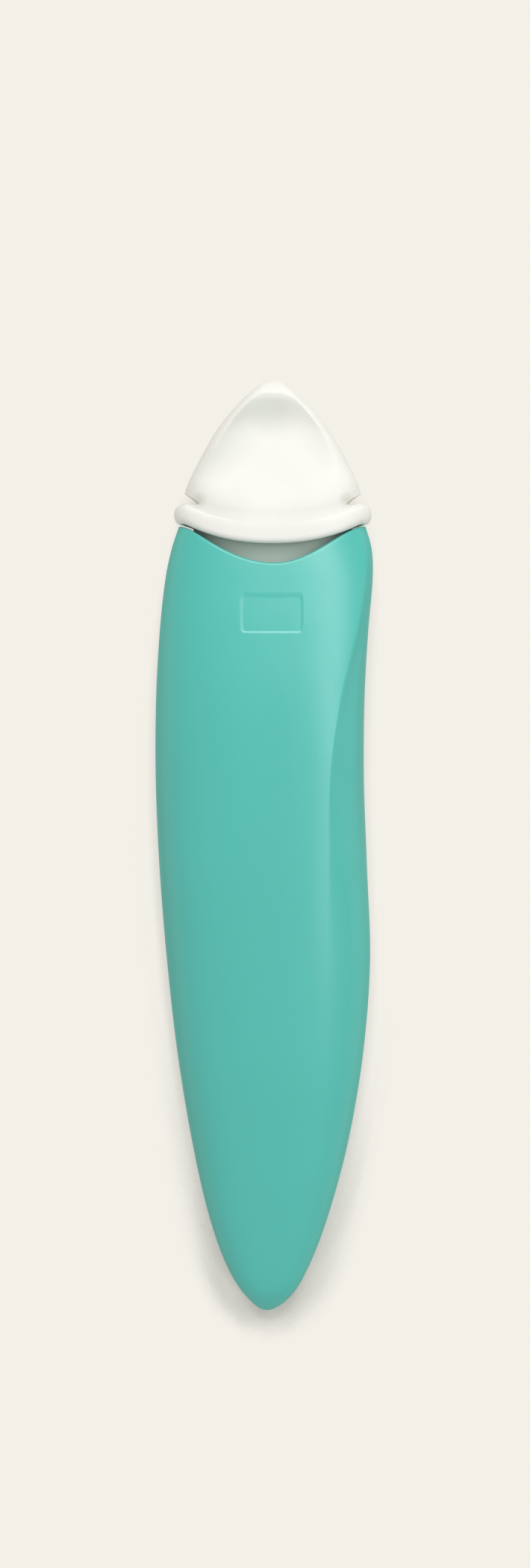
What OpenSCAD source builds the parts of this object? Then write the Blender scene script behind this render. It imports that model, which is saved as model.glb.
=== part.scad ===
// Chalk wheel marker: an ergonomic handle of two shells, a socket sleeve, a pull-out chalk
// cartridge with a toothed wheel in its nose, and a dished cap.
// It lies on its back: +Y is towards the wheel, +Z is up, and the origin is on the flat back.

/* [Handle] */
// Distance from the origin forward to the mouth's corners
mouth_y = 50; // [49:0.5:51]
// Height of the flat parting plane, which the axis of the cartridge lies in
parting_z = 8; // [7.8:0.1:8.2]
// Wall of the two shells
shell_wall = 1.8; // [1.6:0.1:1.8]
// How far the mouth's edge dips in the middle
mouth_dip = 5.8; // [5.4:0.1:6]
// Width that the finger scoop takes off the right side
scoop_width = 3; // [2:0.1:3.2]
// Share of the crease's height that the scoop's slope takes
scoop_fall = 0.42; // [0.3:0.02:0.5]
// Sag of the finger scoop below a straight slope
scoop_hollow = 0.3; // [0:0.1:0.5]

/* [Cap] */
// Half width of the cap's collar
collar_half_w = 15.95; // [15.6:0.05:16.2]
// Half thickness of the cap's collar
collar_half_t = 7.75; // [7.7:0.05:7.8]
// How far the collar's edge dips in the middle
collar_dip = 2.7; // [2.5:0.1:3]
// Depth of the thumb dish in each face
dish_depth = 2.6; // [1.6:0.1:2.6]
// Distance from the mouth's corners to the cap's apex
cap_reach = 23.7; // [23.5:0.1:24.5]

/* [Cartridge] */
// Half width of the chalk tank
tank_half_w = 10; // [9.5:0.1:10]
// Half thickness of the chalk tank
tank_half_t = 4.6; // [4.4:0.1:4.6]
// Wall of the tank
tank_wall = 1.2; // [1:0.1:1.2]
// Half width of the oval neck
neck_half_w = 12.8; // [12.4:0.1:12.8]
// Half thickness of the oval neck
neck_half_t = 5.3; // [5:0.1:5.3]
// Height of the chalk inside the tank
powder_depth = 2.3; // [1:0.1:2.4]

/* [Wheel] */
// Radius over the teeth
wheel_r = 3.5; // [3.2:0.1:3.6]
// Number of teeth
teeth = 22; // [16:1:26]
// Depth of a tooth
tooth_depth = 0.55; // [0.3:0.05:0.7]
// Thickness of the disc
wheel_t = 0.5; // [0.4:0.05:0.6]

/* [Hidden] */
eps = 0.01;
$fn = 48;

// Handle stations from mouth to tail: y, left edge, right edge, top, bottom, scoop's crease,
// and how fully the scoop is cut there. The first and last rows only set the ends' direction.
tail_y = -76.9;
tail_x = -0.95;
stations = [
    [54,    -13.6,  13.4,  13.9,  1.6, 13.0, 0],
    [50,    -15.1,  14.9,  15.0,  1.0, 14.2, 0],
    [46,    -16.4,  16.0,  16.0,  0.6, 15.0, 0.3],
    [41,    -17.4,  16.1,  17.1,  0.1, 14.9, 0.7],
    [33,    -18.25, 15.4,  18.6, -0.3, 13.7, 1],
    [22,    -18.85, 14.8,  20.0, -0.5, 11.1, 1],
    [9,     -18.9,  14.7,  20.5, -0.5,  9.3, 1],
    [-5,    -18.3,  15.2,  20.4, -0.5,  9.2, 0.4],
    [-20,   -17.1,  15.7,  19.7, -0.4,  9.2, 0],
    [-35,   -15.4,  14.6,  18.3, -0.1,  8.3, 0],
    [-49,   -13.1,  12.25, 16.4,  0.7,  6.5, 0],
    [-60.5, -10.55,  9.2,  14.4,  2.0,  4.4, 0],
    [-69,    -7.65,  6.05, 12.4,  3.7,  2.3, 0],
    [-74.3,  -4.45,  3.0,  10.6,  5.5,  0.3, 0],
    [tail_y, tail_x, tail_x, parting_z, parting_z, tail_x, 0],
    [-74.3,   3.0,  -4.45,  5.5, 10.6, -2.0, 0]
];
last_t = len(stations) - 3;
upper_power = 2.7;     // squareness of the section above the parting plane
lower_power = 3.2;     // squareness below it
dip_half_w = 15;       // half width of the mouth's dip
dip_power = 1.8;
rim_power = 8;         // how late the scoop's rim rolls over
dip_from_y = 30;       // the dip fades out behind here
rings_per_station = 3;
over_top = 22;         // steps from the left edge over the top to the crease
down_scoop = 8;        // steps from the crease to the right edge
across_back = 18;      // steps across the lower shell
inner_end_t = 12.45;   // the hollow ends short of the tail

// Sleeve and cartridge
fit = 0.15;            // sliding clearance
sleeve_wall = 1.45;
sleeve_front_y = 41;
sleeve_back_y = -15.5;
sleeve_floor = 1.5;
bulkhead_t = 3;
rear_bulkhead_y = -8;
rear_bulkhead_t = 2;
neck_power = 2.3;
neck_front_y = 51.7;
tank_back_y = -4;
plug_r = 2.5;
plug_fit = 0.1;
plug_depth = 2.5;
plug_head_r = 3.4;
plug_head_t = 1.2;
powder_ends = [0, 45];

// Nose: each section is [half width, half thickness]
spigot_depth = 5.7;
flange = [9.6, 4.4];
flange_t = 1.5;
shoulder = [9.2, 4.3];
waist = [3.7, 3.2];
waist_back = 4.5;      // from the axle back to the waist
feed_r = [2.9, 0.9];   // the chalk's funnel, at the tank and at the wheel
feed_end_back = 3;
wheel_room = 0.4;
axle_y = 63;
axle_r = 0.5;
axle_len = 3.6;
nose_end_r = 2.3;
nose_end_w = 4.2;
slot_half_w = 0.38;
hub_r = 1.2;
hub_half_t = 0.33;
wheel_bore_r = 0.56;

// Cap
cap_gap = 0.2;         // between the collar and the mouth's edge
cap_base_y = mouth_y + cap_gap;
notch_from_y = cap_base_y + 3.1;
dome_from_y = cap_base_y + 5.2;
cap_tip_y = mouth_y + cap_reach;
dome_len = cap_tip_y - dome_from_y;
dome_half_w = 14.15;
dome_half_t = collar_half_t - 0.25;
dome_taper = 0.9;      // how much the half thickness falls towards the apex
notch_half_w = 12;     // what the side notches leave
collar_round = 0.95;
collar_edge = 0.75;    // rounding of the collar's open edge
collar_power = 2.7;    // squareness of the collar's section
dome_power = 4;        // squareness of the dome's section
face_from_y = cap_base_y + 4.8;
face_to_y = cap_tip_y - 2.3;
face_rim = 1.3;        // rim left round the dished face
face_wall = 6.6;       // length of the dish's wall under the arch
cap_bore_w = neck_half_w + 0.2;
cap_bore_t = neck_half_t + 0.2;
cap_bore_depth = 2;
cap_inner_w = 11.2;
cap_inner_t = 3.9;
cap_inner_tip_y = cap_tip_y - 1.8;
cap_side_wall = 1;
cap_around = 64;

// Colours
mint = [0.37, 0.75, 0.71];
white = [0.96, 0.95, 0.92];
frosted = [0.85, 0.88, 0.84];
chalk = [0.97, 0.97, 0.96];
steel = [0.72, 0.73, 0.75];
soft_grey = [0.55, 0.57, 0.58];

// Curve through rows of values: t counts rows, and the first and last row only steer it
function along(rows, t) =
    let (k = min(floor(t), len(rows) - 4), f = t - k,
         a = rows[k], b = rows[k + 1], c = rows[k + 2], d = rows[k + 3])
    0.5 * (2 * b + (c - a) * f + (2 * a - 5 * b + 4 * c - d) * f * f
           + (3 * b - a - 3 * c + d) * f * f * f);

// The t at which the handle's curve reaches y, by Newton's method
function t_at(y, t, tries = 4) =
    tries == 0 ? t
    : let (here = along(stations, t)[0], ahead = along(stations, t + eps)[0])
      t_at(y, max(0, t - (here - y) * eps / (ahead - here)), tries - 1);

// Power that keeps the sign, for superellipses
function spow(v, p) = sign(v) * pow(abs(v), p);

// Point of a superellipse quadrant pair at an angle
function oval(half_w, half_t, power, angle) =
    [half_w * spow(cos(angle), 2 / power), half_t * spow(sin(angle), 2 / power)];

function mix(a, b, f) = a * (1 - f) + b * f;
function smooth(f) = let (c = min(1, max(0, f))) c * c * (3 - 2 * c);

// Section of the handle above the parting plane, shrunk by the wall: [x, z] at step i. It is an
// oval up to the crease, as if the right side were fuller by the scoop's width, and past the
// crease a slope whose rim rolls down to the right edge.
function upper_point(row, i, wall) =
    let (right = row[2] - wall,
         full_right = right + row[6] * scoop_width,
         mid = (row[1] + wall + full_right) / 2,
         half_w = full_right - mid,
         rise = row[3] - parting_z - wall,
         crease = min(row[5] - wall * 0.6, right - 0.3) - mid,
         turn = acos(max(-1, min(1, spow(crease / half_w, upper_power / 2)))),
         on_scoop = i > over_top,
         f = on_scoop ? 1 - pow(1 - (i - over_top) / down_scoop, 2) : i / over_top,
         angle = on_scoop ? turn * (1 - f) : 180 - (180 - turn) * f,
         round = oval(half_w, rise, upper_power, angle),
         start = oval(half_w, rise, upper_power, turn),
         reach = on_scoop ? (right - mid - start[0]) / (half_w - start[0]) : 1,
         drawn_in = [start[0] + (round[0] - start[0]) * reach, round[1]],
         fall = mix(pow(f, rim_power), f, scoop_fall),
         slope = [mix(start[0], right - mid, f),
                  start[1] * (1 - fall) - scoop_hollow * sin(180 * f)])
    [mid, parting_z] + mix(drawn_in, slope, on_scoop ? row[6] : 0);

// Section below the parting plane, flat where the marker rests
function lower_point(row, i, wall) =
    let (mid = (row[1] + row[2]) / 2,
         p = oval((row[2] - row[1]) / 2 - wall, parting_z - row[4] - wall,
                  lower_power, -180 * i / across_back))
    [mid + p[0], max(parting_z + p[1], wall)];

// How far the mouth's edge lies behind its corners
function dip(x) = mouth_dip * pow(max(0, 1 - pow(x / dip_half_w, 2)), dip_power);

// One point of a shell, with the rings near the mouth bent to follow its edge
function shell_point(t, i, wall, upper) =
    let (row = along(stations, t),
         flat = upper ? upper_point(row, i, wall) : lower_point(row, i, wall),
         bend = dip(flat[0]) * pow(max(0, (row[0] - dip_from_y) / (mouth_y - dip_from_y)), 2),
         y = row[0] - bend,
         there = bend > 0 ? along(stations, t_at(y, t)) : row,
         p = upper ? upper_point(there, i, wall) : lower_point(there, i, wall))
    [p[0], y, p[1]];

// Triangles between two rows of n + 1 points that start at indices a and b
function strip(a, b, n, flip) = [
    for (i = [0 : n - 1])
        each flip ? [[a + i, b + i, a + i + 1], [a + i + 1, b + i, b + i + 1]]
                  : [[a + i, a + i + 1, b + i], [a + i + 1, b + i + 1, b + i]]
];

// Half of the handle: an outer and an inner skin, joined round the mouth and the parting line
module shell(upper) {
    steps = upper ? over_top + down_scoop : across_back;
    row = steps + 1;
    rings = last_t * rings_per_station;
    outer = [for (j = [0 : rings - 1], i = [0 : steps])
        shell_point(last_t * j / rings, i, 0, upper)];
    inner = [for (j = [0 : rings - 1], i = [0 : steps])
        shell_point(inner_end_t * j / rings, i, shell_wall, upper)];
    inner_tip_y = along(stations, inner_end_t)[0];
    points = concat(outer, [[tail_x, tail_y, parting_z]],
                    inner, [[tail_x, inner_tip_y, parting_z]]);
    tip = rings * row;
    base = tip + 1;
    inner_tip = base + tip;
    faces = [
        for (j = [0 : rings - 2]) each strip(j * row, (j + 1) * row, steps, false),
        for (i = [0 : steps - 1]) [tip - row + i, tip - row + i + 1, tip],
        for (j = [0 : rings - 2]) each strip(base + j * row, base + (j + 1) * row, steps, true),
        for (i = [0 : steps - 1]) [inner_tip - row + i, inner_tip, inner_tip - row + i + 1],
        each strip(0, base, steps, true),
        for (side = [0, steps], j = [0 : rings - 1])
            let (a = j * row + side, b = j < rings - 1 ? a + row : tip,
                 c = base + a, d = j < rings - 1 ? c + row : inner_tip)
            each side == 0 ? [[a, b, c], [b, d, c]] : [[a, c, b], [b, c, d]]
    ];
    polyhedron(points, faces, convexity = 6);
}

// Outline of the hollow between the shells at a station, for the sleeve's bulkheads
module hollow_outline(y, play) {
    row = along(stations, t_at(y, 3));
    wall = shell_wall + play;
    polygon([
        for (i = [0 : over_top + down_scoop]) upper_point(row, i, wall),
        for (i = [1 : across_back - 1]) lower_point(row, i, wall)
    ]);
}

// Two discs joined side by side: the tank's section
module stadium(half_w, half_t) {
    for (side = [-1, 1]) translate([side * (half_w - half_t), 0]) circle(half_t);
    square([2 * (half_w - half_t), 2 * half_t], center = true);
}

// Sets a flat shape, drawn as x and z, on the axis and draws it out from one y to another
module prism(from_y, to_y) {
    translate([0, to_y, parting_z]) rotate([90, 0, 0]) linear_extrude(to_y - from_y) children();
}

// Round bar or bore along the length
module rod(r, from_y, to_y, r2 = undef) {
    translate([0, from_y, parting_z]) rotate([-90, 0, 0])
        cylinder(r1 = r, r2 = is_undef(r2) ? r : r2, h = to_y - from_y);
}

// Round bar or bore across the nose, centred on the axle
module cross_rod(r, len) {
    translate([-len / 2, axle_y, parting_z]) rotate([0, 90, 0]) cylinder(r = r, h = len);
}

module handle_upper_shell() { color(mint) shell(true); }

module handle_lower_shell() { color(mint) shell(false); }

module socket_sleeve() {
    color(white) difference() {
        union() {
            prism(sleeve_back_y, sleeve_front_y)
                stadium(tank_half_w + fit + sleeve_wall, tank_half_t + fit + sleeve_wall);
            translate([0, sleeve_front_y, 0]) rotate([90, 0, 0]) linear_extrude(bulkhead_t)
                hollow_outline(sleeve_front_y, 0.05);
            translate([0, rear_bulkhead_y + rear_bulkhead_t, 0]) rotate([90, 0, 0])
                linear_extrude(rear_bulkhead_t) hollow_outline(rear_bulkhead_y, 0.05);
        }
        prism(sleeve_back_y + sleeve_floor, sleeve_front_y + 1)
            stadium(tank_half_w + fit, tank_half_t + fit);
    }
}

module cartridge_tank() {
    color(frosted) difference() {
        union() {
            prism(tank_back_y, sleeve_front_y + 1) stadium(tank_half_w, tank_half_t);
            prism(sleeve_front_y, neck_front_y)
                polygon([for (k = [0 : 63]) oval(neck_half_w, neck_half_t, neck_power, k * 360 / 64)]);
        }
        prism(tank_back_y + tank_wall, neck_front_y + 1)
            stadium(tank_half_w - tank_wall, tank_half_t - tank_wall);
        rod(plug_r + plug_fit, tank_back_y - 1, tank_back_y + tank_wall + 1);
    }
}

module chalk_powder() {
    floor_z = parting_z - tank_half_t + tank_wall;
    color(chalk) intersection() {
        prism(powder_ends[0], powder_ends[1])
            stadium(tank_half_w - tank_wall, tank_half_t - tank_wall);
        translate([-tank_half_w, powder_ends[0] - 1, floor_z - 1])
            cube([2 * tank_half_w, powder_ends[1] - powder_ends[0] + 2, powder_depth + 1]);
    }
}

module filler_plug() {
    color(soft_grey) {
        rod(plug_r, tank_back_y, tank_back_y + plug_depth);
        rod(plug_head_r, tank_back_y - plug_head_t, tank_back_y);
    }
}

// Both halves of the nose in one: spigot, flange, shoulder and beak, with their bores
module nose_body() {
    shoulder_y = neck_front_y + flange_t;
    waist_y = axle_y - waist_back;
    difference() {
        union() {
            prism(neck_front_y - spigot_depth, neck_front_y)
                stadium(tank_half_w - tank_wall, tank_half_t - tank_wall);
            prism(neck_front_y, shoulder_y) stadium(flange[0], flange[1]);
            hull() {
                prism(shoulder_y - eps, shoulder_y) stadium(shoulder[0], shoulder[1], $fn = 32);
                prism(waist_y - eps, waist_y) stadium(waist[0], waist[1], $fn = 32);
            }
            hull() {
                prism(waist_y - eps, waist_y) stadium(waist[0], waist[1], $fn = 32);
                cross_rod(nose_end_r, nose_end_w);
            }
        }
        rod(feed_r[0], neck_front_y - spigot_depth - eps, axle_y - feed_end_back, r2 = feed_r[1]);
        translate([-slot_half_w, axle_y - wheel_r - wheel_room, 0])
            cube([2 * slot_half_w, 2 * wheel_r + 2, 2 * parting_z]);
        cross_rod(axle_r, axle_len);
    }
}

// One half of the nose: side is -1 for left and 1 for right
module nose_half(side) {
    color(white) intersection() {
        nose_body();
        translate([side > 0 ? 0 : -20, 0, -5]) cube([20, 100, 30]);
    }
}

module nose_left_half() { nose_half(-1); }

module nose_right_half() { nose_half(1); }

module toothed_wheel() {
    pitch = 360 / teeth;
    root_r = wheel_r - tooth_depth;
    corners = [[root_r, -0.36], [wheel_r, -0.06], [wheel_r, 0.06], [root_r, 0.36]];
    color(steel) translate([0, axle_y, parting_z]) rotate([0, 90, 0]) difference() {
        union() {
            translate([0, 0, -wheel_t / 2]) linear_extrude(wheel_t)
                polygon([for (k = [0 : teeth - 1], c = corners)
                    c[0] * [cos((k + c[1]) * pitch), sin((k + c[1]) * pitch)]]);
            cylinder(r = hub_r, h = 2 * hub_half_t, center = true);
        }
        cylinder(r = wheel_bore_r, h = 4, center = true);
    }
}

module axle_pin() { color(steel) cross_rod(axle_r, axle_len); }

// The cap's half width at its sides: a rounded collar, a straight run past the notch, the dome
function cap_w(y) =
    y < notch_from_y
    ? let (s = (y - cap_base_y) / (notch_from_y - cap_base_y) * 2 - 1)
      collar_half_w - collar_round + collar_round * sqrt(max(0, 1 - s * s))
    : y < dome_from_y
    ? mix(collar_half_w - collar_round, dome_half_w, (y - notch_from_y) / (dome_from_y - notch_from_y))
    : dome_half_w * pow(max(0, 1 - pow((y - dome_from_y) / dome_len, 1.25)), 0.7);

// Half width that the side notches leave at y
function notch_w(y) =
    let (s = max(0, min(1, (y - notch_from_y) / (dome_from_y - notch_from_y))))
    mix(notch_half_w, collar_half_w, pow(2 * s - 1, 2));

// The cap's half thickness at the raised rim: a rounded open edge, a slight sink to the crease,
// and a gentle taper to the rounded apex
function cap_t(y) =
    let (s = min(1, (y - cap_base_y) / 0.9),
         edge = collar_edge * (1 - sqrt(1 - pow(1 - s, 2))),
         sink = (collar_half_t - dome_half_t) * smooth((y - cap_base_y - 2) / 2.8),
         d = max(0, (y - dome_from_y) / dome_len))
    (collar_half_t - edge - sink - dome_taper * d) * sqrt(max(0, 1 - pow(d, 10)));

function cap_power(y) = mix(collar_power, dome_power, smooth((y - cap_base_y - 3) / 5));

// Depth of the dished face at a point: a ramp from the crease, a wall under the arch, and flanks
// that end a rim's width inside the outline
function cap_dish(x, y) =
    let (s = max(0, min(1, (y - face_from_y) / (face_to_y - face_from_y))),
         ramp = 1 - pow(1 - s, 1.9),
         wall = sin(90 * max(0, min(1, (face_to_y - y) / face_wall))),
         half_w = max(eps, cap_w(max(y, dome_from_y)) - face_rim))
    dish_depth * ramp * wall * max(0, 1 - pow(x / half_w, 4));

// How far a point lies behind the collar's corners: whole over the collar, then fading out
function collar_bend(x, y) =
    -collar_dip * max(0, 1 - pow(x / dome_half_w, 2)) * (1 - smooth((y - cap_base_y - 3) / 13));

function cap_outer(y, i) =
    let (p = oval(cap_w(y), cap_t(y), cap_power(y), 360 * i / cap_around),
         x = sign(p[0]) * min(abs(p[0]), notch_w(y)))
    [x, y + collar_bend(x, y), parting_z + p[1] - sign(p[1]) * cap_dish(x, y)];

// The hollow: a bore for the neck, then a plain cavity for the nose
function cap_inner(y, i) =
    let (in_bore = y <= cap_base_y + cap_bore_depth,
         reach = (y - cap_base_y - 9.8) / (cap_inner_tip_y - cap_base_y - 9.8),
         half_w = in_bore ? cap_bore_w
                  : max(0, min(cap_inner_w, cap_w(max(y, dome_from_y) + 1.3) - cap_side_wall)),
         half_t = in_bore ? cap_bore_t
                  : mix(cap_bore_t, cap_inner_t, smooth((y - cap_base_y - 3) / 6.8))
                    * sqrt(max(0, 1 - pow(max(0, reach), 6))),
         p = oval(half_w, half_t, neck_power, 360 * i / cap_around))
    [p[0], y + (y <= cap_base_y ? collar_bend(p[0], y) : 0), parting_z + p[1]];

// Triangles of a closed ring to the next, and of the last ring to a point
function ring_strip(a, b, n, flip) = [
    for (i = [0 : n - 1])
        let (j = (i + 1) % n)
        each flip ? [[a + i, b + i, a + j], [a + j, b + i, b + j]]
                  : [[a + i, a + j, b + i], [a + j, b + j, b + i]]
];
function ring_fan(a, tip, n, flip) = [
    for (i = [0 : n - 1])
        let (j = (i + 1) % n)
        flip ? [a + i, tip, a + j] : [a + i, a + j, tip]
];

module cap() {
    notch_len = dome_from_y - notch_from_y;
    bore_end_y = cap_base_y + cap_bore_depth;
    cavity_y = bore_end_y + 0.6;
    outer_y = [
        for (k = [0 : 6]) cap_base_y + (notch_from_y - cap_base_y) * (1 - cos(30 * k)) / 2,
        for (k = [1 : 5]) notch_from_y + notch_len * k / 6,
        for (k = [0 : 21]) dome_from_y + dome_len * sin(90 * k / 22)
    ];
    inner_y = [
        cap_base_y, bore_end_y, cavity_y,
        for (k = [1 : 9]) cavity_y + (cap_inner_tip_y - cavity_y) * sin(9.6 * k)
    ];
    n = cap_around;
    outer = [for (y = outer_y, i = [0 : n - 1]) cap_outer(y, i)];
    inner = [for (y = inner_y, i = [0 : n - 1]) cap_inner(y, i)];
    points = concat(outer, [[0, cap_tip_y, parting_z]], inner, [[0, cap_inner_tip_y, parting_z]]);
    tip = len(outer);
    base = tip + 1;
    inner_tip = base + len(inner);
    color(white) polyhedron(points, [
        for (j = [0 : len(outer_y) - 2]) each ring_strip(j * n, (j + 1) * n, n, false),
        each ring_fan(tip - n, tip, n, false),
        for (j = [0 : len(inner_y) - 2])
            each ring_strip(base + j * n, base + (j + 1) * n, n, true),
        each ring_fan(inner_tip - n, inner_tip, n, true),
        each ring_strip(0, base, n, true)
    ], convexity = 6);
}

handle_upper_shell();
handle_lower_shell();
socket_sleeve();
cartridge_tank();
chalk_powder();
filler_plug();
nose_left_half();
nose_right_half();
toothed_wheel();
axle_pin();
cap();
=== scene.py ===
"""A chalk wheel marker lying on a pale card: soft-touch mint handle, white cap, chalk cartridge."""
import math

import bpy
import numpy as np
from bpy.props import FloatProperty, FloatVectorProperty, IntProperty, PointerProperty
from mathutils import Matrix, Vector


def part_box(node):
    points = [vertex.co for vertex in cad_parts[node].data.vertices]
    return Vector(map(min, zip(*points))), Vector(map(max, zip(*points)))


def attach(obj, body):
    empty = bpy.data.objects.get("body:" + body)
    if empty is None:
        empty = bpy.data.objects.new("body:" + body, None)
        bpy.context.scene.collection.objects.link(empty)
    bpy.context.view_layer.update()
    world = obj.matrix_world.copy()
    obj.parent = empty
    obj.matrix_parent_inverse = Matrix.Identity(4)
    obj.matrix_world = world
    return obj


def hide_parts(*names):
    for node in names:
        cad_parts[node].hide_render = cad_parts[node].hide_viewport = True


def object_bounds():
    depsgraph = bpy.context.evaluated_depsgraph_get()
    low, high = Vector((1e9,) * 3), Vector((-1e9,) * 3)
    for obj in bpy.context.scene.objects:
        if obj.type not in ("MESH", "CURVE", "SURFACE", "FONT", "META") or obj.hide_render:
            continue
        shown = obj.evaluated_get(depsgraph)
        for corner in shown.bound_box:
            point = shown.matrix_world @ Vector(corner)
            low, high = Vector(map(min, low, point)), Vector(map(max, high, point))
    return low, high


bl_info = {
    "name": "Chalk wheel marker",
    "version": (1, 0, 0),
    "blender": (4, 5, 0),
    "location": "3D View > Sidebar > Chalk marker",
    "description": "Dresses the chalk wheel marker's frame and lights it on a card",
    "category": "Object",
}

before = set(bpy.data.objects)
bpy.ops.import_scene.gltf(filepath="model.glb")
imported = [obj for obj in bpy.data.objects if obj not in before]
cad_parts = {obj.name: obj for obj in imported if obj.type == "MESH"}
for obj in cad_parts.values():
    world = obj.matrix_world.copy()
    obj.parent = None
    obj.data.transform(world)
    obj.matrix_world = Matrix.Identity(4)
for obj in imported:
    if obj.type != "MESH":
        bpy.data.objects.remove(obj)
cad_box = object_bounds()

# Lengths are in millimetres where no comment says metres, and MM brings them to metres.
MM = 0.001
# Height of the parting line, place of the mouth's corners and point of the tail.
PARTING_Z = 8.0
MOUTH_Y = 50.0
TAIL = (-0.95, -76.65)

# Handle stations from mouth to tail: y, left edge, right edge, top, back, crease of the finger
# scoop, and how fully the scoop is cut. The first and last rows only set the ends' direction.
STATIONS = np.array([
    [54, -13.6, 13.4, 13.9, 1.6, 13.0, 0],
    [MOUTH_Y, -15.1, 14.9, 15.0, 1.0, 14.2, 0],
    [46, -16.4, 16.0, 16.0, 0.6, 15.0, 0.3],
    [41, -17.4, 16.1, 17.1, 0.1, 14.9, 0.7],
    [33, -18.25, 15.4, 18.6, -0.3, 13.7, 1],
    [22, -18.85, 14.8, 20.0, -0.5, 11.1, 1],
    [9, -18.9, 14.7, 20.5, -0.5, 9.3, 1],
    [-5, -18.3, 15.2, 20.4, -0.5, 9.2, 0.4],
    [-20, -17.1, 15.7, 19.7, -0.4, 9.2, 0],
    [-35, -15.4, 14.6, 18.3, -0.1, 8.3, 0],
    [-49, -13.1, 12.25, 16.4, 0.7, 6.5, 0],
    [-60.5, -10.55, 9.2, 14.4, 2.0, 4.4, 0],
    [-69, -7.65, 6.05, 12.4, 3.7, 2.3, 0],
    [-74.3, -4.4, 2.95, 10.6, 5.5, 0.3, 0],
    [TAIL[1], TAIL[0], TAIL[0], PARTING_Z, PARTING_Z, TAIL[0], 0],
    [-74.3, 2.95, -4.4, 5.5, 10.6, -2.0, 0],
])
LAST_T = len(STATIONS) - 3.0
# The hollow ends this many rows from the mouth.
INNER_END_T = 12.45
# The mouth's dip: its half width, middle and power, and where the rings start to bend for it.
DIP_HALF_W, DIP_MIDDLE_X, DIP_POWER, DIP_FROM_Y = 15.0, -0.2, 1.65, 30.0
# The bare recess, and how far along their stretches of columns its two long edges run.
RECESS_MIDDLE, RECESS_HALF = np.array([-0.15, 35.7]), np.array([4.85, 3.0])
RECESS_CORNER, RECESS_FLANK = 0.6, 0.3
LEFT_EDGE_W, RIGHT_EDGE_W = 0.84, 0.31
# Powers that space a section's points at its seam end and at its top end.
SEAM_SPACING, TOP_SPACING = 2.4, 1.35
# Height over which the seam's groove fades out.
SEAM_REACH = 0.28
# Share of the wall by which the inner skin's crease moves in, and the least width of the scoop.
CREASE_INSET, SCOOP_LEAST_W = 0.6, 0.3


class HandleSettings(bpy.types.PropertyGroup):
    """Sizes and colour of the handle's two shells"""
    colour: FloatVectorProperty(
        name="Colour", description="Soft-touch mint", subtype="COLOR",
        default=(0.054, 0.490, 0.422), min=0, max=1)
    wall: FloatProperty(
        name="Wall", description="Thickness of the shells", unit="LENGTH", default=1.8 * MM)
    mouth_dip: FloatProperty(
        name="Mouth dip", description="How far the mouth's edge dips in the middle",
        unit="LENGTH", default=6.1 * MM)
    lip_round: FloatProperty(
        name="Lip round", description="Rounding of the mouth's edge", unit="LENGTH",
        default=0.45 * MM)
    scoop_width: FloatProperty(
        name="Scoop width", description="Width that the finger scoop takes off the right side",
        unit="LENGTH", default=3.0 * MM)
    scoop_hollow: FloatProperty(
        name="Scoop hollow", description="How far the finger scoop sags below a straight slope",
        unit="LENGTH", default=0.3 * MM)
    scoop_fall: FloatProperty(
        name="Scoop fall", description="Share of the crease's height that the scoop's slope takes",
        default=0.42, min=0, max=1)
    recess: FloatProperty(
        name="Recess", description="Depth of the bare recess near the mouth", unit="LENGTH",
        default=0.1 * MM)
    seam: FloatProperty(
        name="Seam", description="Depth of the groove along the parting line", unit="LENGTH",
        default=0.14 * MM)
    upper_power: FloatProperty(
        name="Upper squareness", description="Superellipse power above the seam", default=2.7)
    lower_power: FloatProperty(
        name="Lower squareness", description="Superellipse power below the seam", default=3.2)
    rings: IntProperty(
        name="Rings", description="Rings along each skin of a shell", default=170, min=20)


class CapSettings(bpy.types.PropertyGroup):
    """Sizes and colour of the cap"""
    colour: FloatVectorProperty(
        name="Colour", description="Warm white plastic", subtype="COLOR",
        default=(0.880, 0.864, 0.815), min=0, max=1)
    dish: FloatProperty(
        name="Dish", description="Depth of the thumb dish in each face", unit="LENGTH",
        default=2.6 * MM)
    around: IntProperty(
        name="Around", description="Points round the cap, a multiple of four", default=160,
        min=16)


class CartridgeSettings(bpy.types.PropertyGroup):
    """Colours of the cartridge's pieces"""
    # The tank's green tint and lightness are partly painted: they stand in for the mint handle's bounce
    # light in the shadowed gap at the mouth.
    tank: FloatVectorProperty(
        name="Tank", description="Frosted translucent plastic", subtype="COLOR",
        default=(0.67, 0.77, 0.68), min=0, max=1)
    nose: FloatVectorProperty(
        name="Nose", description="White plastic of the nose and the sleeve", subtype="COLOR",
        default=(0.86, 0.85, 0.81), min=0, max=1)
    steel: FloatVectorProperty(
        name="Steel", description="Wheel and pin", subtype="COLOR",
        default=(0.60, 0.61, 0.63), min=0, max=1)
    rubber: FloatVectorProperty(
        name="Rubber", description="Filler plug", subtype="COLOR",
        default=(0.22, 0.24, 0.25), min=0, max=1)
    chalk: FloatVectorProperty(
        name="Chalk", description="Chalk powder", subtype="COLOR",
        default=(0.90, 0.90, 0.89), min=0, max=1)


class StageSettings(bpy.types.PropertyGroup):
    """The card, the lamps and the camera"""
    card: FloatVectorProperty(
        name="Card", description="Pale card that the marker lies on", subtype="COLOR",
        default=(0.903, 0.880, 0.815), min=0, max=1)
    top: FloatProperty(
        name="Top", description="Light of the softbox beyond the tip, as a share of full light",
        default=0.22, min=0)
    side: FloatProperty(
        name="Side", description="Light of the softbox at the right, as a share of full light",
        default=0.21, min=0)
    fill: FloatProperty(
        name="Fill", description="Strength of the world's light", default=0.65, min=0)
    # Glow kept next to the marker; below full glow the darker diffuse card shows as painted shadow.
    card_glow: FloatProperty(
        name="Card glow", description="How far the card's colour is freed from its shading next "
        "to the marker", default=0.15, min=0, max=1)
    lens: FloatProperty(
        name="Lens", description="Focal length in millimetres", default=250.0, min=10)
    pixels_per_mm: FloatProperty(
        name="Pixels per mm", description="The photograph's scale", default=8.3, min=1)


def settings(name):
    """The named settings group of the scene."""
    return getattr(bpy.context.scene, name)


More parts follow.
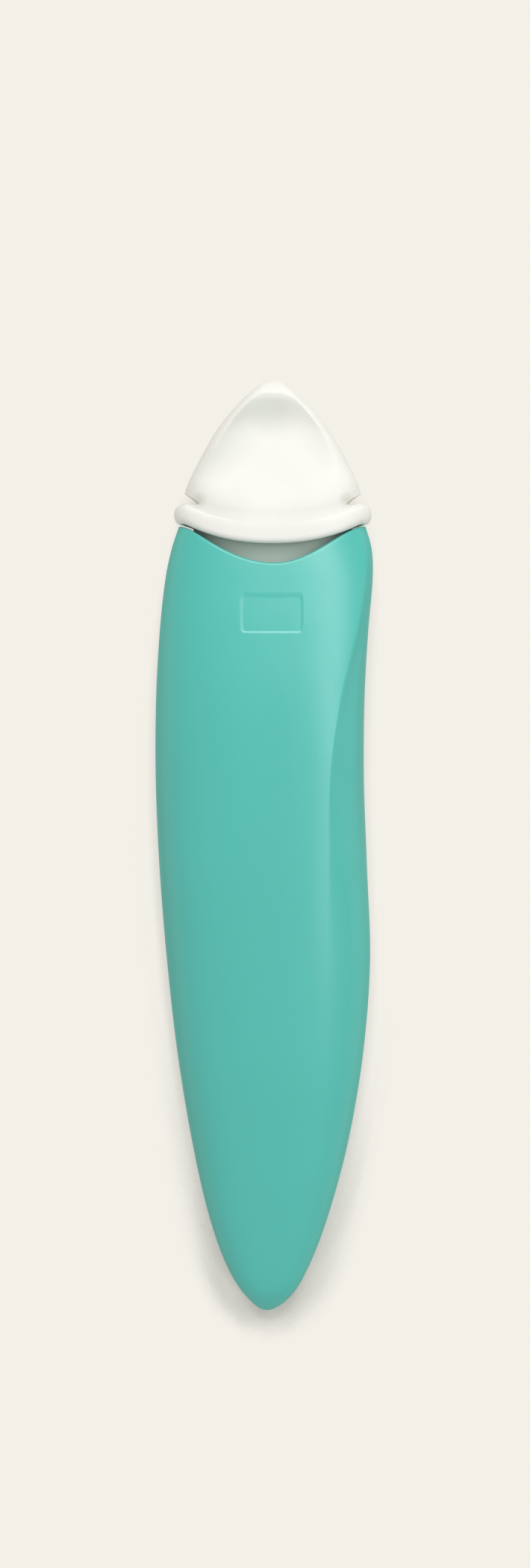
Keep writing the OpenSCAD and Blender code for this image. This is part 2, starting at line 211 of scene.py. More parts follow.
def smooth(f):
    """Smooth step from 0 to 1: 3 f squared minus 2 f cubed, held at the ends."""
    f = np.clip(f, 0.0, 1.0)
    return f * f * (3 - 2 * f)


def spow(value, power):
    """Power of the size of a value that keeps its sign, for superellipses."""
    return np.sign(value) * np.abs(value) ** power


def mix(a, b, f):
    """Straight blend from a to b."""
    return a * (1 - f) + b * f


def along(t):
    """Handle station at t rows from the mouth: the Catmull-Rom cubic through the four rows round it."""
    t = np.asarray(t, float)
    k = np.clip(np.floor(t).astype(int), 0, len(STATIONS) - 4)
    f = (t - k)[..., None]
    a, b, c, d = (STATIONS[k + i] for i in range(4))
    return 0.5 * (2 * b + (c - a) * f + (2 * a - 5 * b + 4 * c - d) * f ** 2
                  + (3 * b - a - 3 * c + d) * f ** 3)


T_TABLE = np.linspace(0, LAST_T, 4000)
Y_TABLE = along(T_TABLE)[:, 0]


def t_at(y):
    """Row count t at which the handle's curve reaches y, read back from a dense table."""
    return np.interp(-y, -Y_TABLE, T_TABLE)


def quarter(w):
    """Angle from 0 to 90 degrees over w from 0 to 1, with fine steps at the seam end and even
    steps of width at the top end: a power of w over that power plus a power of 1 - w."""
    low, high = w ** SEAM_SPACING, (1 - w) ** TOP_SPACING
    return 90 * low / (low + high)


def superellipse(half_w, half_t, power, angle):
    """Point of a superellipse: each axis is its half size times a power of the cosine or sine."""
    a = np.radians(angle)
    return (half_w * spow(np.cos(a), 2 / power), half_t * spow(np.sin(a), 2 / power))


def upper_columns():
    """Columns of the upper shell from the left seam over the top and down the scoop to the right
    seam: which of the three stretches each is in, and how far along it. They are finer where the
    recess's two long edges run."""
    counts = (38, 34, 30)
    steps = [np.arange(n) / n for n in counts]
    steps[0] = np.sort(np.append(steps[0], LEFT_EDGE_W + np.linspace(-0.035, 0.035, 11)))
    steps[1] = np.sort(np.append(steps[1], RIGHT_EDGE_W + np.linspace(-0.03, 0.03, 11)))
    part = np.repeat((0, 1, 2), [len(w) for w in steps])
    return np.append(part, 2), np.append(np.concatenate(steps), 1.0)


def lower_columns():
    """Columns of the lower shell from the right seam under the back to the left seam."""
    counts = (34, 34)
    part = np.repeat((0, 1), counts)
    w = np.concatenate([np.arange(n) / n for n in counts])
    return np.append(part, 1), np.append(w, 1.0)


def upper_section(row, columns, wall, s):
    """Section above the seam. A superellipse runs from the left seam to the crease, as if the
    body went on past the scoop to a full right side. Past the crease the scoop falls by a
    straight share of the height, hollowed by a sine, and by an eighth power that rolls its rim
    down to the right seam. It is blended with the superellipse, drawn in to the same seam,
    where the scoop is not fully cut."""
    part, w = columns
    right = row[..., 2] - wall
    full_right = right + row[..., 6] * s.scoop_width / MM
    mid = (row[..., 1] + wall + full_right) / 2
    half_w = full_right - mid
    rise = row[..., 3] - PARTING_Z - wall
    crease = np.minimum(row[..., 5] - wall * CREASE_INSET, right - SCOOP_LEAST_W) - mid
    turn = np.degrees(np.arccos(np.clip(spow(crease / half_w, s.upper_power / 2), -1, 1)))
    f = 1 - (1 - w) ** 2
    angle = np.choose(part, [180 - quarter(w) + 0 * turn,
                             90 - (90 - turn) * w ** TOP_SPACING,
                             turn * (1 - f)])
    x, z = superellipse(half_w, rise, s.upper_power, angle)
    start_x, start_z = superellipse(half_w, rise, s.upper_power, turn)
    reach = (right - mid - start_x) / (half_w - start_x)
    x = np.where(part == 2, start_x + (x - start_x) * reach, x)
    sag = s.scoop_hollow / MM * np.sin(np.pi * f)
    cut = np.where(part == 2, row[..., 6], 0)
    x = mix(x, mix(start_x, right - mid, f), cut)
    z = mix(z, start_z * (1 - mix(f ** 8, f, s.scoop_fall)) - sag, cut)
    return mid + x, PARTING_Z + z


def lower_section(row, columns, wall, s):
    """Section below the seam: a squarer superellipse, cut flat where the marker rests."""
    part, w = columns
    mid = (row[..., 1] + row[..., 2]) / 2
    angle = np.choose(part, [-quarter(w), -180 + quarter(1 - w)])
    x, z = superellipse((row[..., 2] - row[..., 1]) / 2 - wall, PARTING_Z - row[..., 4] - wall,
                        s.lower_power, angle)
    return mid + x, np.maximum(PARTING_Z + z, wall)


def mouth_line(x, s):
    """How far the mouth's edge lies behind its corners: the dip times a power of one minus the
    square of the distance from its middle over its half width."""
    across = (x - DIP_MIDDLE_X) / DIP_HALF_W
    return s.mouth_dip / MM * np.maximum(0, 1 - across ** 2) ** DIP_POWER


def skin(t, section, columns, wall, s, back_off):
    """Points of a shell's skin on a grid of rings t and columns. Rings near the mouth bend back
    to follow its edge, and stop short of it by back_off for the lip."""
    row = along(np.broadcast_to(t[:, None], (len(t), len(columns[0]))))
    x, _ = section(row, columns, wall, s)
    near = np.maximum(0, (row[..., 0] - DIP_FROM_Y) / (MOUTH_Y - DIP_FROM_Y)) ** 2
    y = row[..., 0] - (mouth_line(x, s) + back_off) * near
    x, z = section(along(t_at(y)), columns, wall, s)
    return np.stack([x, y, z], -1)


def seam_groove(points, s):
    """Draws the skin in towards the middle next to the seam, by a square law in height."""
    near = np.clip(1 - np.abs(points[..., 2] - PARTING_Z) / SEAM_REACH, 0, 1) ** 2
    towards = np.sign(points[..., 0] - TAIL[0])
    points[..., 0] -= towards * near * (s.seam / MM)
    return points


def grid_faces(rows, cols, closed=False):
    """Quads of a grid of points, row by row, with the last column joined to the first if closed."""
    i, j = np.meshgrid(np.arange(rows - 1), np.arange(cols if closed else cols - 1), indexing="ij")
    k = (j + 1) % cols
    return np.stack([i * cols + j, i * cols + k, (i + 1) * cols + k, (i + 1) * cols + j],
                    -1).reshape(-1, 4)


def make_mesh(name, points, faces, flip=False):
    """New object at the origin from points in millimetres and a list of faces, shaded smooth.
    Flip turns the faces over."""
    mesh = bpy.data.meshes.new(name)
    faces = [tuple(int(v) for v in (f[::-1] if flip else f)) for f in faces]
    mesh.from_pydata((np.asarray(points) * MM).tolist(), [], faces)
    mesh.validate()
    mesh.shade_smooth()
    obj = bpy.data.objects.new(name, mesh)
    bpy.context.scene.collection.objects.link(obj)
    return obj


def label_recess(points, s):
    """Lowers the top skin inside a bare rounded rectangle. The depth is a smooth step of the
    distance inside its outline, over the width of the flank."""
    q = np.abs(points[..., :2] - RECESS_MIDDLE) - RECESS_HALF + RECESS_CORNER
    beyond = np.linalg.norm(np.maximum(q, 0), axis=-1)
    out = beyond + np.minimum(q.max(axis=-1), 0) - RECESS_CORNER
    points[..., 2] -= s.recess / MM * smooth(0.5 - out / RECESS_FLANK)
    return points


def ring_steps(n):
    """Shares of the way from mouth to tail for the rings: n even steps, and fine ones where the
    recess's two cross edges run."""
    edges = (RECESS_MIDDLE[1] - RECESS_HALF[1], RECESS_MIDDLE[1] + RECESS_HALF[1])
    fine = np.concatenate([t_at(y + np.linspace(0.4, -0.4, 9)) for y in edges]) / LAST_T
    return np.sort(np.concatenate([np.arange(n) / n, fine]))


def shell_mesh(name, section, columns, s):
    """A shell as one closed surface: outer skin from tail to mouth, a rounded lip, the inner
    skin back to the tail, and the two flat rims along the seam. The number of rows is odd, so a
    triangle ends each rim at the middle of the lip."""
    wall, lip = s.wall / MM, s.lip_round / MM
    t = ring_steps(s.rings)
    outer = seam_groove(skin(t * LAST_T, section, columns, 0.0, s, lip), s)
    if outer[0, :, 2].max() > PARTING_Z + 1:
        outer = label_recess(outer, s)
    inner = skin(t * INNER_END_T, section, columns, wall, s, lip)
    step = 0.01
    slope = -(mouth_line(outer[0, :, 0] + step, s) - mouth_line(outer[0, :, 0] - step, s)) / (2 * step)
    ahead = np.stack([-slope, np.ones_like(slope), 0 * slope], -1)
    ahead /= np.linalg.norm(ahead, axis=1, keepdims=True)
    across = (1 - np.cos(np.linspace(0, np.pi, 13)[1:-1])) / 2
    bulge = lip * (1 - np.abs(2 * across - 1) ** 4) ** 0.5
    rolled = mix(outer[0], inner[0], across[:, None, None]) + bulge[:, None, None] * ahead
    rows = np.concatenate([outer[::-1], rolled, inner])
    cols = rows.shape[1]
    points = np.concatenate([rows.reshape(-1, 3),
                             [[TAIL[0], TAIL[1], PARTING_Z]],
                             [[TAIL[0], along(INNER_END_T)[0], PARTING_Z]]])
    tip, inner_tip = len(points) - 2, len(points) - 1
    last = (len(rows) - 1) * cols
    faces = list(grid_faces(len(rows), cols))
    faces += [(i + 1, i, tip) for i in range(cols - 1)]
    faces += [(last + i, last + i + 1, inner_tip) for i in range(cols - 1)]
    half = len(rows) // 2
    for side, turned in ((0, False), (cols - 1, True)):
        chain = [j * cols + side for j in range(len(rows))]
        pairs = [(tip, inner_tip), *zip(chain[:half], chain[:half:-1])]
        rim = [(a, b, d, c) for (a, b), (c, d) in zip(pairs, pairs[1:])]
        rim.append((*pairs[-1], chain[half]))
        faces += [face if turned else face[::-1] for face in rim]
    return make_mesh(name, points, faces)


class Sock:
    """A node's output socket that builds Math nodes from Python arithmetic."""

    def __init__(self, tree, socket):
        self.tree, self.socket = tree, socket

    def beside(self, output):
        """Another output of the same node."""
        return Sock(self.tree, self.socket.node.outputs[output])

    def __add__(self, other):
        return self.tree.math("ADD", self, other)

    def __sub__(self, other):
        return self.tree.math("SUBTRACT", self, other)

    def __mul__(self, other):
        return self.tree.math("MULTIPLY", self, other)

    def __truediv__(self, other):
        return self.tree.math("DIVIDE", self, other)

    def __pow__(self, other):
        return self.tree.math("POWER", self, other)

    def __radd__(self, other):
        return self.tree.math("ADD", other, self)

    def __rsub__(self, other):
        return self.tree.math("SUBTRACT", other, self)

    def __rmul__(self, other):
        return self.tree.math("MULTIPLY", other, self)


class Finish:
    """A material's node tree: one Principled shader, and methods that add nodes to it."""

    def __init__(self, name, **constants):
        self.material = bpy.data.materials.new(name)
        self.material.use_nodes = True
        self.nodes = self.material.node_tree.nodes
        self.links = self.material.node_tree.links
        self.shader = self.nodes["Principled BSDF"]
        for socket, value in constants.items():
            self.shader.inputs[socket.replace("_", " ")].default_value = value

    def add(self, kind, node_settings=None, output=0, inputs=None):
        """A node of that kind, with its settings made first, then its inputs' values or links."""
        node = self.nodes.new(kind)
        for key, value in (node_settings or {}).items():
            setattr(node, key, value)
        for key, value in (inputs or {}).items():
            self.feed(node.inputs[key], value)
        return Sock(self, node.outputs[output])

    def feed(self, socket, value):
        """Links a socket wrapper or sets a plain value."""
        if isinstance(value, Sock):
            self.links.new(value.socket, socket)
        else:
            socket.default_value = value

    def math(self, operation, *values):
        """A Math node on numbers and sockets."""
        return self.add("ShaderNodeMath", {"operation": operation}, inputs=dict(enumerate(values)))

    def place(self):
        """The object coordinates of the surface, in metres."""
        return self.add("ShaderNodeTexCoord", output="Object")

    def noise(self, size, detail=2.0, rough=0.5):
        """Noise from 0 to 1 whose blobs are about size metres across."""
        return self.add("ShaderNodeTexNoise", inputs={
            "Vector": self.place(), "Scale": 1 / size, "Detail": detail, "Roughness": rough})

    def sky(self, reach, lean):
        """Share of the sky that is open within reach metres, seen along a normal that leans that
        far towards the tip."""
        normal = self.add("ShaderNodeCombineXYZ", inputs={1: lean, 2: math.sqrt(1 - lean ** 2)})
        return self.add("ShaderNodeAmbientOcclusion", {"samples": 16}, output="AO",
                        inputs={"Distance": reach, "Normal": normal})

    def ramp(self, value, low, high, to_low=0.0, to_high=1.0):
        """Value carried from the range low to high onto another, and held at its ends."""
        return self.add("ShaderNodeMapRange", {"clamp": True}, inputs={
            0: value, 1: low, 2: high, 3: to_low, 4: to_high})

    def tint(self, factor, a, b):
        """Colour mixed from a to b by the factor."""
        return self.add("ShaderNodeMix", {"data_type": "RGBA"}, output=2,
                        inputs={0: factor, 6: a, 7: b})

    def colour(self, value):
        """Feeds the base colour."""
        self.feed(self.shader.inputs["Base Color"], value)

    def rough(self, value):
        """Feeds the roughness."""
        self.feed(self.shader.inputs["Roughness"], value)

    def bump(self, height, depth):
        """Feeds the normal with a bump whose full height is depth metres."""
        self.feed(self.shader.inputs["Normal"], self.add("ShaderNodeBump", inputs={
            "Distance": depth, "Strength": 1.0, "Height": height}))


def rgba(colour, gain=1.0):
    """A colour setting as four numbers, brightened by a gain."""
    return (*(min(1.0, c * gain) for c in colour), 1.0)


def shaded(colour, gains):
    """A colour setting as four numbers, with a gain for each of red, green and blue."""
    return (*(c * gain for c, gain in zip(colour, gains)), 1.0)


def soft_touch_mint():
    """Rubber-like coating: satin, with a fine moulded grain and a faint drift of tone. Its gloss
    is more matt where the surface turns away, so that the rims stay dark."""
    base = settings("chalk_handle").colour
    f = Finish("handle soft touch", Specular_IOR_Level=1.0)
    drift = f.noise(28 * MM, 2.0)
    speck = f.noise(0.35 * MM, 3.0)
    f.colour(f.tint(f.ramp(drift, 0.3, 0.7) * 0.6 + speck * 0.4, rgba(base, 0.96), rgba(base, 1.04)))
    facing = f.add("ShaderNodeLayerWeight", output="Facing")
    matt_rim = f.ramp(facing, 0.25, 0.65, 0.0, 0.3)
    f.rough(f.ramp(f.noise(2.2 * MM, 4.0), 0.3, 0.7, 0.31, 0.35) + matt_rim)
    f.bump(f.noise(0.16 * MM, 2.0), 0.006 * MM)
    return f.material


def cap_white():
    """Warm white plastic that lets a little light in, satin, with faint flow marks. Under the arch its
    colour carries a painted shade, darker and a little cooler: along the left side, by the distance
    inside the outline, and across the top left of the face. Round the ends of the side notches it
    carries a dimmer painted shade."""
    base = settings("chalk_cap").colour
    f = Finish("cap plastic", Subsurface_Weight=0.12, Subsurface_Radius=(1.0, 0.95, 0.8),
               Subsurface_Scale=1.6 * MM, Specular_IOR_Level=0.4)
    flow = f.noise(7 * MM, 3.0)
    plain = f.tint(f.ramp(flow, 0.35, 0.65), rgba(base, 0.985), rgba(base, 1.01))
    across = f.add("ShaderNodeSeparateXYZ", inputs={0: f.place()})
    x, y = across / MM, across.beside("Y") / MM
    along_dome = f.ramp(y, DOME_FROM_Y, CAP_TIP_Y)
    inside = DOME_HALF_W * (1 - along_dome ** DOME_RUN_POWER) ** DOME_END_POWER + x
    # Painted shade under the arch: masks along the left side and across the top left of the face, kept
    # inside the rim.
    left = f.ramp(inside, 1.8, 8.5, 1.0, 0.0) * f.ramp(y, 56.5, 61.0)
    top = f.ramp(y, 63.5, 67.8) * f.ramp(x, 1.5, 5.5, 1.0, 0.0)
    in_face = f.ramp(inside, 1.0, 1.9) * f.ramp(y, 71.6, 70.0)
    painted_arch_shade = f.math("MAXIMUM", left, top) * in_face
    # Painted shade round each notch's end: full within 0.3 mm of the spot, gone by 1.5 mm.
    off_notch = ((f.math("ABSOLUTE", x) - NOTCH_HALF_W) ** 2.0 + (y - NOTCH_SHADE_Y) ** 2.0) ** 0.5
    painted_notch_shade = f.ramp(off_notch, 0.3, 1.5, 1.0, 0.0)
    # The painted shades darken the colour and turn it a little cooler.
    with_painted_arch_shade = f.tint(painted_arch_shade, plain, shaded(base, (0.86, 0.895, 0.875)))
    f.colour(f.tint(painted_notch_shade, with_painted_arch_shade, shaded(base, (0.83, 0.83, 0.79))))
    f.rough(f.ramp(f.noise(1.4 * MM, 3.0), 0.3, 0.7, 0.38, 0.45))
    f.bump(f.noise(0.3 * MM, 2.0), 0.003 * MM)
    return f.material


def moulded_plastic(name, base, rough=0.38, **constants):
    """Plain moulded plastic with a fine grain and a slight drift of tone."""
    f = Finish(name, **constants)
    f.colour(f.tint(f.noise(5 * MM, 3.0), rgba(base, 0.96), rgba(base, 1.03)))
    f.rough(f.ramp(f.noise(0.9 * MM, 3.0), 0.3, 0.7, rough - 0.05, rough + 0.05))
    f.bump(f.noise(0.25 * MM, 2.0), 0.004 * MM)
    return f.material


STREAKS_PER_METRE = 14000.0


def turned_steel():
    """Stamped steel with fine scratches round the axle."""
    base = settings("chalk_cartridge").steel
    f = Finish("wheel steel", Metallic=1.0, Specular_IOR_Level=0.5)
    y = f.add("ShaderNodeSeparateXYZ", output="Y", inputs={0: f.place()})
    low, high = (np.array(c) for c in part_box("toothed_wheel"))
    _, mid_y, mid_z = ((low + high) / 2).tolist()
    radius = ((y - mid_y) ** 2.0 + (y.beside("Z") - mid_z) ** 2.0) ** 0.5
    rings = f.add("ShaderNodeCombineXYZ", inputs={0: radius * STREAKS_PER_METRE})
    streak = f.add("ShaderNodeTexNoise", inputs={"Vector": rings, "Scale": 1.0, "Detail": 3.0})
    f.colour(f.tint(streak, rgba(base, 0.86), rgba(base, 1.1)))
    f.rough(f.ramp(streak, 0.3, 0.7, 0.22, 0.36))
    f.bump(streak, 0.002 * MM)
    return f.material


def chalk_dust():
    """Dry powder, quite rough, with clumps."""
    base = settings("chalk_cartridge").chalk
    f = Finish("chalk powder", Specular_IOR_Level=0.1)
    clump = f.noise(0.5 * MM, 5.0, rough=0.7)
    f.colour(f.tint(clump, rgba(base, 0.9), rgba(base, 1.05)))
    f.rough(0.95)
    f.bump(clump, 0.08 * MM)
    return f.material


def dress(obj, material):
    """Gives a piece or a frame node one material."""
    obj.data.materials.clear()
    obj.data.materials.append(material)


def break_edges(obj, width):
    """Rounds a frame node's sharp edges: its split corners are welded, every edge over 30 degrees
    is bevelled in three steps, and the normals follow the large faces."""
    weld = obj.modifiers.new("weld", "WELD")
    weld.merge_threshold = 0.001 * MM
    bevel = obj.modifiers.new("edges", "BEVEL")
    bevel.width, bevel.segments = width, 3
    bevel.limit_method, bevel.angle_limit = "ANGLE", math.radians(30)
    bevel.use_clamp_overlap = True
    normals = obj.modifiers.new("normals", "WEIGHTED_NORMAL")
    normals.keep_sharp = False


class CHALK_OT_handle(bpy.types.Operator):
    """Makes the two mint shells of the handle, with the finger scoop and the dipped mouth"""
    bl_idname = "chalk.handle"
    bl_label = "Handle shells"

    def execute(self, context):
        s = settings("chalk_handle")
        mint = soft_touch_mint()
        for name, node, section, columns in (
                ("handle_upper", "handle_upper_shell", upper_section, upper_columns()),
                ("handle_lower", "handle_lower_shell", lower_section, lower_columns())):
            shell = shell_mesh(name, section, columns, s)
            dress(shell, mint)
            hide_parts(node)
            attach(shell, "handle")
        return {"FINISHED"}


CAP_GAP = 0.2
CAP_BASE_Y = MOUTH_Y + CAP_GAP
NOTCH_FROM_Y = CAP_BASE_Y + 3.1
DOME_FROM_Y = CAP_BASE_Y + 5.2
CAP_TIP_Y = MOUTH_Y + 23.7
DOME_LEN = CAP_TIP_Y - DOME_FROM_Y
COLLAR_HALF_W, COLLAR_HALF_T, COLLAR_ROUND = 15.95, 7.75, 0.95
COLLAR_DIP, COLLAR_DIP_POWER = 3.15, 2.3
DOME_HALF_W, DOME_HALF_T, DOME_TAPER = 14.15, 7.5, 0.9
DOME_RUN_POWER, DOME_END_POWER = 1.25, 0.7
# Half width at the notches' floor, and the place along the cap where the painted shade at their ends is
# centred.
NOTCH_HALF_W, NOTCH_SHADE_Y = 12.0, 54.0
FACE_FROM_Y, FACE_TO_Y, FACE_RIM, FACE_WALL = CAP_BASE_Y + 4.8, CAP_TIP_Y - 2.3, 1.3, 6.6
COLLAR_POWER, DOME_POWER, BORE_POWER = 2.7, 4.0, 2.3
# Length and height of the collar's rounded edge.
EDGE_LEN, EDGE_T = 0.9, 0.75
# Softness of the dish's crease, and the powers of its ramp and of its flanks.
DISH_SOFT, DISH_POWER, FLANK_POWER = 0.1, 1.9, 4
# The bore takes the neck as far as BORE_END_Y. The cavity over the nose starts a step ahead of it,
# and its outline is the dome's from CAVITY_AHEAD further on, less CAVITY_WALL.
BORE_W, BORE_T, BORE_END_Y, BORE_STEP = 13.0, 5.5, CAP_BASE_Y + 2.0, 0.6
CAVITY_W, CAVITY_T, CAVITY_AHEAD, CAVITY_WALL = 11.2, 3.9, 1.3, 1.0
CAVITY_ROUND_Y, CAVITY_TIP_Y = CAP_BASE_Y + 9.8, CAP_TIP_Y - 1.8
# Stretches along the cap, each by its start ahead of the base and its length: where the collar
# sinks to the dome, the section turns squarer, the bend fades out and the cavity gets thinner.
SINKING, SQUARING, BEND_FADE, THINNING = (2.0, 2.8), (3.0, 5.0), (3.0, 13.0), (3.0, 6.8)


def cap_step(y, start, length):
    """Smooth step from 0 to 1 over a stretch of the cap."""
    return smooth((y - CAP_BASE_Y - start) / length)


def cap_half_w(y):
    """Half width of the cap: a rounded collar, a straight run across the notch, then a dome that
    is a power of one minus a power of the distance along it."""
    s = np.clip((y - CAP_BASE_Y) / (NOTCH_FROM_Y - CAP_BASE_Y), 0, 1) * 2 - 1
    collar = COLLAR_HALF_W - COLLAR_ROUND + COLLAR_ROUND * np.sqrt(np.maximum(0, 1 - s * s))
    s = np.clip((y - NOTCH_FROM_Y) / (DOME_FROM_Y - NOTCH_FROM_Y), 0, 1)
    run = mix(COLLAR_HALF_W - COLLAR_ROUND, DOME_HALF_W, s)
    s = np.clip((y - DOME_FROM_Y) / DOME_LEN, 0, 1)
    dome = DOME_HALF_W * (1 - s ** DOME_RUN_POWER) ** DOME_END_POWER
    return np.where(y < NOTCH_FROM_Y, collar, np.where(y < DOME_FROM_Y, run, dome))


def notch_half_w(y):
    """Half width that the side notches leave: a square law each way from the notch's floor."""
    s = np.clip((y - NOTCH_FROM_Y) / (DOME_FROM_Y - NOTCH_FROM_Y), 0, 1)
    return mix(NOTCH_HALF_W, COLLAR_HALF_W, (2 * s - 1) ** 2)


def cap_half_t(y):
    """Half thickness of the cap at its rim: a collar with a quarter-round edge that sinks a
    little to the crease, then a gentle taper times a root that rounds the apex."""
    s = np.clip((y - CAP_BASE_Y) / EDGE_LEN, 0, 1)
    edge = EDGE_T * (1 - np.sqrt(1 - (1 - s) ** 2))
    sink = (COLLAR_HALF_T - DOME_HALF_T) * cap_step(y, *SINKING)
    s = np.clip((y - DOME_FROM_Y) / DOME_LEN, 0, 1)
    return (COLLAR_HALF_T - edge - sink - DOME_TAPER * s) * np.sqrt(1 - s ** 10)


def cap_power(y):
    """Squareness of the cap's section: round at the collar, squarer in the dome."""
    return mix(COLLAR_POWER, DOME_POWER, cap_step(y, *SQUARING))


def cap_dish(x, y, depth):
    """Depth of the dished face: a ramp from the crease, a wall under the arch that is a quarter
    sine of the way down from it, and flanks by a fourth power that end a rim's width inside the
    outline."""
    s = np.clip((y - FACE_FROM_Y) / (FACE_TO_Y - FACE_FROM_Y), 0, 1)
    ramp = 1 - (1 - np.sqrt(s * s + DISH_SOFT ** 2) + DISH_SOFT) ** DISH_POWER
    wall = np.sin(np.pi / 2 * np.clip((FACE_TO_Y - y) / FACE_WALL, 0, 1))
    half_w = np.maximum(cap_half_w(np.maximum(y, DOME_FROM_Y)) - FACE_RIM, 0.01)
    across = np.clip(1 - (np.abs(x) / half_w) ** FLANK_POWER, 0, 1)
    return depth * ramp * wall * across


def collar_bend(x, y):
    """How far the collar's points lie behind its corners: one minus a power of x that is whole
    over the collar and fades out along the dome."""
    fade = 1 - cap_step(y, *BEND_FADE)
    return -COLLAR_DIP * np.maximum(0, 1 - np.abs(x / DOME_HALF_W) ** COLLAR_DIP_POWER) * fade


def around_angles(n):
    """Angles all the way round, in four quarters whose steps are half way between the seam-to-top
    spacing and even ones."""
    w = np.arange(n // 4) / (n // 4)
    q = mix(quarter(w), 90 * w, 0.5)
    return np.concatenate([q, 180 - np.append(90, q[:0:-1]), 180 + q, 360 - np.append(90, q[:0:-1])])


class CHALK_OT_cap(bpy.types.Operator):
    """Makes the white cap: a saddle-shaped collar, side notches and a dome with dished faces"""
    bl_idname = "chalk.cap"
    bl_label = "Cap"

    def execute(self, context):
        s = settings("chalk_cap")
        angle = around_angles(s.around)[None, :]
        turn = np.linspace(0, 1, 29)[:-1]
        collar_y = mix(CAP_BASE_Y, NOTCH_FROM_Y, (1 - np.cos(np.pi * turn)) / 2)
        notch_y = mix(NOTCH_FROM_Y, DOME_FROM_Y, np.linspace(0, 1, 25)[:-1])
        dome_y = DOME_FROM_Y + DOME_LEN * np.sin(np.linspace(0, np.pi / 2, 90)[:-1])
        y = np.concatenate([collar_y, notch_y, dome_y])[:, None]
        x, z = superellipse(cap_half_w(y), cap_half_t(y), cap_power(y), angle)
        x = np.sign(x) * np.minimum(np.abs(x), notch_half_w(y))
        dish = cap_dish(x, y, s.dish / MM)
        outer = np.stack([x, y + collar_bend(x, y), PARTING_Z + z - np.sign(z) * dish], -1)
        bore_y = np.linspace(CAP_BASE_Y, BORE_END_Y, 8)
        cavity_y = BORE_END_Y + BORE_STEP + (CAVITY_TIP_Y - BORE_END_Y - BORE_STEP) * np.sin(
            np.linspace(0, np.pi / 2, 50)[:-1])
        inner_y = np.concatenate([bore_y, cavity_y])[:, None]
        in_bore = inner_y <= BORE_END_Y
        reach = np.clip((inner_y - CAVITY_ROUND_Y) / (CAVITY_TIP_Y - CAVITY_ROUND_Y), 0, 1)
        half_w = np.where(in_bore, BORE_W, np.clip(
            cap_half_w(np.maximum(inner_y, DOME_FROM_Y) + CAVITY_AHEAD) - CAVITY_WALL, 0, CAVITY_W))
        cavity_t = mix(BORE_T, CAVITY_T, cap_step(inner_y, *THINNING))
        half_t = np.where(in_bore, BORE_T, cavity_t * np.sqrt(1 - reach ** 6))
        x, z = superellipse(half_w, half_t, BORE_POWER, angle)
        bend = collar_bend(x, inner_y) * (inner_y <= CAP_BASE_Y)
        inner = np.stack([x, inner_y + bend, PARTING_Z + z], -1)
        rows = np.concatenate([inner[::-1], outer])
        points = np.concatenate([rows.reshape(-1, 3), [[0, CAVITY_TIP_Y, PARTING_Z]],
                                 [[0, CAP_TIP_Y, PARTING_Z]]])
        n = s.around
        last = (len(rows) - 1) * n
        faces = list(grid_faces(len(rows), n, closed=True))
        faces += [((i + 1) % n, i, len(points) - 2) for i in range(n)]
        faces += [(last + i, last + (i + 1) % n, len(points) - 1) for i in range(n)]
        cap = make_mesh("cap_moulding", points, faces, flip=True)
        dress(cap, cap_white())
        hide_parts("cap")
        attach(cap, "cap")
        return {"FINISHED"}


class CHALK_OT_cartridge(bpy.types.Operator):
    """Finishes the frame's own pieces: sleeve, tank, chalk, plug, nose halves, wheel and pin"""
    bl_idname = "chalk.cartridge"
    bl_label = "Cartridge and sleeve"

    def execute(self, context):
        s = settings("chalk_cartridge")
        white = moulded_plastic("nose plastic", s.nose)
        frosted = moulded_plastic("tank plastic", s.tank, rough=0.42, Transmission_Weight=0.25,
                                  IOR=1.49)
        steel = turned_steel()
        finishes = {
            "socket_sleeve": moulded_plastic("sleeve plastic", s.nose, rough=0.5),
            "cartridge_tank": frosted,
            "chalk_powder": chalk_dust(),
            "filler_plug": moulded_plastic("plug rubber", s.rubber, rough=0.65),
            "nose_left_half": white,
            "nose_right_half": white,
            "toothed_wheel": steel,
            "axle_pin": steel,
        }
        widths = {"toothed_wheel": 0.03, "axle_pin": 0.06, "chalk_powder": 0.3, "filler_plug": 0.25}
        for node, material in finishes.items():
            dress(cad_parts[node], material)
            break_edges(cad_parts[node], widths.get(node, 0.2) * MM)
        return {"FINISHED"}


def card_stock(s):
    """Matt card. Seen straight, in gloss or through glass, part of it glows in its own colour, so that
    the background is even and the shadow under the marker stays light. The glow fades where the marker
    covers the sky, and where it covers more towards the tip than towards the tail. There the darker
    diffuse card shows through, so the shadow round the marker and beyond its tail is partly real shade
    from the lamps and the world and partly painted shadow."""
    f = Finish("card stock", Specular_IOR_Level=0.2)
    # The diffuse colour is about two thirds of the glow's, so it sends back less light and shows as
    # painted shadow where the glow fades.
    f.colour(f.tint(f.noise(1.1 * MM, 3.0), rgba(s.card, 0.655), rgba(s.card, 0.665)))
    f.rough(0.8)
    path = f.add("ShaderNodeLightPath", output="Is Camera Ray")
    seen = path + path.beside("Is Glossy Ray") + path.beside("Is Transmission Ray")
    open_sky = f.sky(7 * MM, 0.7)
    towards_tip, towards_tail = f.sky(11 * MM, 0.8), f.sky(11 * MM, -0.8)
    # Painted shadow beyond the tail: the glow fades where the sky is more covered towards the tip than
    # towards the tail.
    shade = f.ramp(towards_tail - towards_tip, 0.13, 0.29, 1.0, 0.0)
    glow = f.add("ShaderNodeEmission", inputs={"Color": rgba(s.card), "Strength": 1.0})
    factor = f.math("MINIMUM", seen, 1.0) * f.ramp(open_sky * shade, 0.35, 0.75, s.card_glow, 0.98)
    share = f.add("ShaderNodeMixShader", inputs={
        0: factor, 1: Sock(f, f.shader.outputs[0]), 2: glow})
    f.links.new(share.socket, f.nodes["Material Output"].inputs["Surface"])
    return f.material


